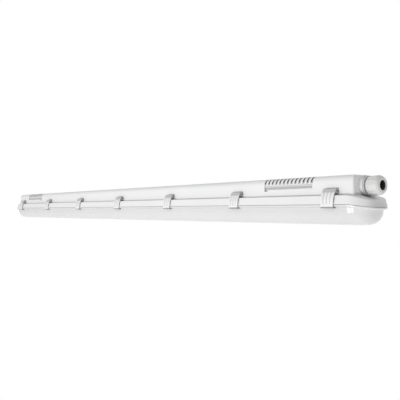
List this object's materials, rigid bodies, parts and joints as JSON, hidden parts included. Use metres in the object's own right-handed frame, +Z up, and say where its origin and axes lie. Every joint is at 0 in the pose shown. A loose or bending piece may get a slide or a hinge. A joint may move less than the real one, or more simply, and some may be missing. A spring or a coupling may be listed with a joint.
{
  "type": "vapor tight light fixture",
  "caption": "Long ceiling light with a ribbed pale grey housing, opal diffuser, hinged snap clips along both sides and a cable gland on one end.",
  "frame": {"origin": "middle of the housing's flat top, the face that lies against the ceiling", "axes": "+X along the fixture to the end with the cable gland, +Y to the rear row of clips, +Z up to the ceiling"},
  "size_m": [1.5029, 0.0906, 0.08],
  "materials": {
    "housing": "pale grey injection moulded polycarbonate, fine satin grain",
    "clip": "white moulded plastic, semi gloss",
    "opal": "opal white polycarbonate, smooth semi gloss",
    "gland": "light grey polyamide, satin",
    "seal": "black rubber, matt",
    "foam": "foamed sealing cord, matt",
    "tray": "white enamelled steel sheet",
    "board": "white lacquered board with light chips",
    "link": "off-white moulded plastic",
    "driver_case": "light grey moulded case",
    "driver_board": "green circuit board with fused components",
    "steel": "zinc plated steel",
    "nylon": "natural nylon",
    "terminal": "dark grey moulded plastic",
    "live": "brown wire insulation",
    "neutral": "blue wire insulation",
    "earth": "green wire insulation",
    "plus": "red wire insulation",
    "minus": "black wire insulation"
  },
  "bodies": {
    "fixture": {"board_link_1": "link", "board_link_2": "link", "diffuser": "opal", "driver_base": "driver_case", "driver_board": "driver_board", "driver_cover": "driver_case", "driver_screw_1": "steel", "driver_screw_2": "steel", "earth_screw": "steel", "gasket": "foam", "gear_tray": "tray", "gland_body": "gland", "gland_locknut": "gland", "gland_washer": "seal", "housing": "housing", "led_board_1": "board", "led_board_2": "board", "led_board_3": "board", "terminal_block": "terminal", "terminal_screw": "steel", "tray_grommet": "seal", "tray_post_1": "nylon", "tray_post_2": "nylon", "tray_post_3": "nylon", "tray_post_4": "nylon", "tray_strap_1": "nylon", "tray_strap_2": "nylon", "wire_earth": "earth", "wire_led_minus": "minus", "wire_led_plus": "plus", "wire_live": "live", "wire_neutral": "neutral"},
    "clip_front_1": {"clip_front_1": "clip"},
    "clip_front_2": {"clip_front_2": "clip"},
    "clip_front_3": {"clip_front_3": "clip"},
    "clip_front_4": {"clip_front_4": "clip"},
    "clip_front_5": {"clip_front_5": "clip"},
    "clip_front_6": {"clip_front_6": "clip"},
    "clip_front_7": {"clip_front_7": "clip"},
    "clip_rear_1": {"clip_rear_1": "clip"},
    "clip_rear_2": {"clip_rear_2": "clip"},
    "clip_rear_3": {"clip_rear_3": "clip"},
    "clip_rear_4": {"clip_rear_4": "clip"},
    "clip_rear_5": {"clip_rear_5": "clip"},
    "clip_rear_6": {"clip_rear_6": "clip"},
    "clip_rear_7": {"clip_rear_7": "clip"},
    "gland_seal": {"gland_seal": "seal"},
    "gland_nut": {"gland_nut": "gland"},
    "terminal_button_live": {"terminal_button_live": "link"},
    "terminal_button_neutral": {"terminal_button_neutral": "link"},
    "terminal_button_earth": {"terminal_button_earth": "link"}
  },
  "joints": [
    {"name": "clip_front_1_hinge", "type": "hinge", "parent": "fixture", "child": "clip_front_1", "pos_m": [-0.6795, -0.0346, -0.0252], "axis": [-1, 0, 0], "range_deg": [0, 85]},
    {"name": "clip_front_2_hinge", "type": "hinge", "parent": "fixture", "child": "clip_front_2", "pos_m": [-0.453, -0.0346, -0.0252], "axis": [-1, 0, 0], "range_deg": [0, 85]},
    {"name": "clip_front_3_hinge", "type": "hinge", "parent": "fixture", "child": "clip_front_3", "pos_m": [-0.2265, -0.0346, -0.0252], "axis": [-1, 0, 0], "range_deg": [0, 85]},
    {"name": "clip_front_4_hinge", "type": "hinge", "parent": "fixture", "child": "clip_front_4", "pos_m": [0, -0.0346, -0.0252], "axis": [-1, 0, 0], "range_deg": [0, 85]},
    {"name": "clip_front_5_hinge", "type": "hinge", "parent": "fixture", "child": "clip_front_5", "pos_m": [0.2265, -0.0346, -0.0252], "axis": [-1, 0, 0], "range_deg": [0, 85]},
    {"name": "clip_front_6_hinge", "type": "hinge", "parent": "fixture", "child": "clip_front_6", "pos_m": [0.453, -0.0346, -0.0252], "axis": [-1, 0, 0], "range_deg": [0, 85]},
    {"name": "clip_front_7_hinge", "type": "hinge", "parent": "fixture", "child": "clip_front_7", "pos_m": [0.6795, -0.0346, -0.0252], "axis": [-1, 0, 0], "range_deg": [0, 85]},
    {"name": "clip_rear_1_hinge", "type": "hinge", "parent": "fixture", "child": "clip_rear_1", "pos_m": [-0.6795, 0.0346, -0.0252], "axis": [1, 0, 0], "range_deg": [0, 85]},
    {"name": "clip_rear_2_hinge", "type": "hinge", "parent": "fixture", "child": "clip_rear_2", "pos_m": [-0.453, 0.0346, -0.0252], "axis": [1, 0, 0], "range_deg": [0, 85]},
    {"name": "clip_rear_3_hinge", "type": "hinge", "parent": "fixture", "child": "clip_rear_3", "pos_m": [-0.2265, 0.0346, -0.0252], "axis": [1, 0, 0], "range_deg": [0, 85]},
    {"name": "clip_rear_4_hinge", "type": "hinge", "parent": "fixture", "child": "clip_rear_4", "pos_m": [0, 0.0346, -0.0252], "axis": [1, 0, 0], "range_deg": [0, 85]},
    {"name": "clip_rear_5_hinge", "type": "hinge", "parent": "fixture", "child": "clip_rear_5", "pos_m": [0.2265, 0.0346, -0.0252], "axis": [1, 0, 0], "range_deg": [0, 85]},
    {"name": "clip_rear_6_hinge", "type": "hinge", "parent": "fixture", "child": "clip_rear_6", "pos_m": [0.453, 0.0346, -0.0252], "axis": [1, 0, 0], "range_deg": [0, 85]},
    {"name": "clip_rear_7_hinge", "type": "hinge", "parent": "fixture", "child": "clip_rear_7", "pos_m": [0.6795, 0.0346, -0.0252], "axis": [1, 0, 0], "range_deg": [0, 85]},
    {"name": "gland_seal_slide", "type": "slide", "parent": "fixture", "child": "gland_seal", "axis": [1, 0, 0], "range_m": [0, 0.003]},
    {"name": "gland_nut_turn", "type": "hinge", "parent": "gland_seal", "child": "gland_nut", "pos_m": [0.74, 0, -0.0176], "axis": [1, 0, 0], "range_deg": [0, 720]},
    {"name": "terminal_button_live_press", "type": "slide", "parent": "fixture", "child": "terminal_button_live", "axis": [0, 0, -1], "range_m": [0, 0.0015], "stiffness_N_per_m": 300, "springref_m": -0.0005},
    {"name": "terminal_button_neutral_press", "type": "slide", "parent": "fixture", "child": "terminal_button_neutral", "axis": [0, 0, -1], "range_m": [0, 0.0015], "stiffness_N_per_m": 300, "springref_m": -0.0005},
    {"name": "terminal_button_earth_press", "type": "slide", "parent": "fixture", "child": "terminal_button_earth", "axis": [0, 0, -1], "range_m": [0, 0.0015], "stiffness_N_per_m": 300, "springref_m": -0.0005}
  ],
  "couplings": [
    {"joint": "gland_nut_turn", "follows": "gland_seal_slide", "rad_per_m": 4188.8}
  ]
}
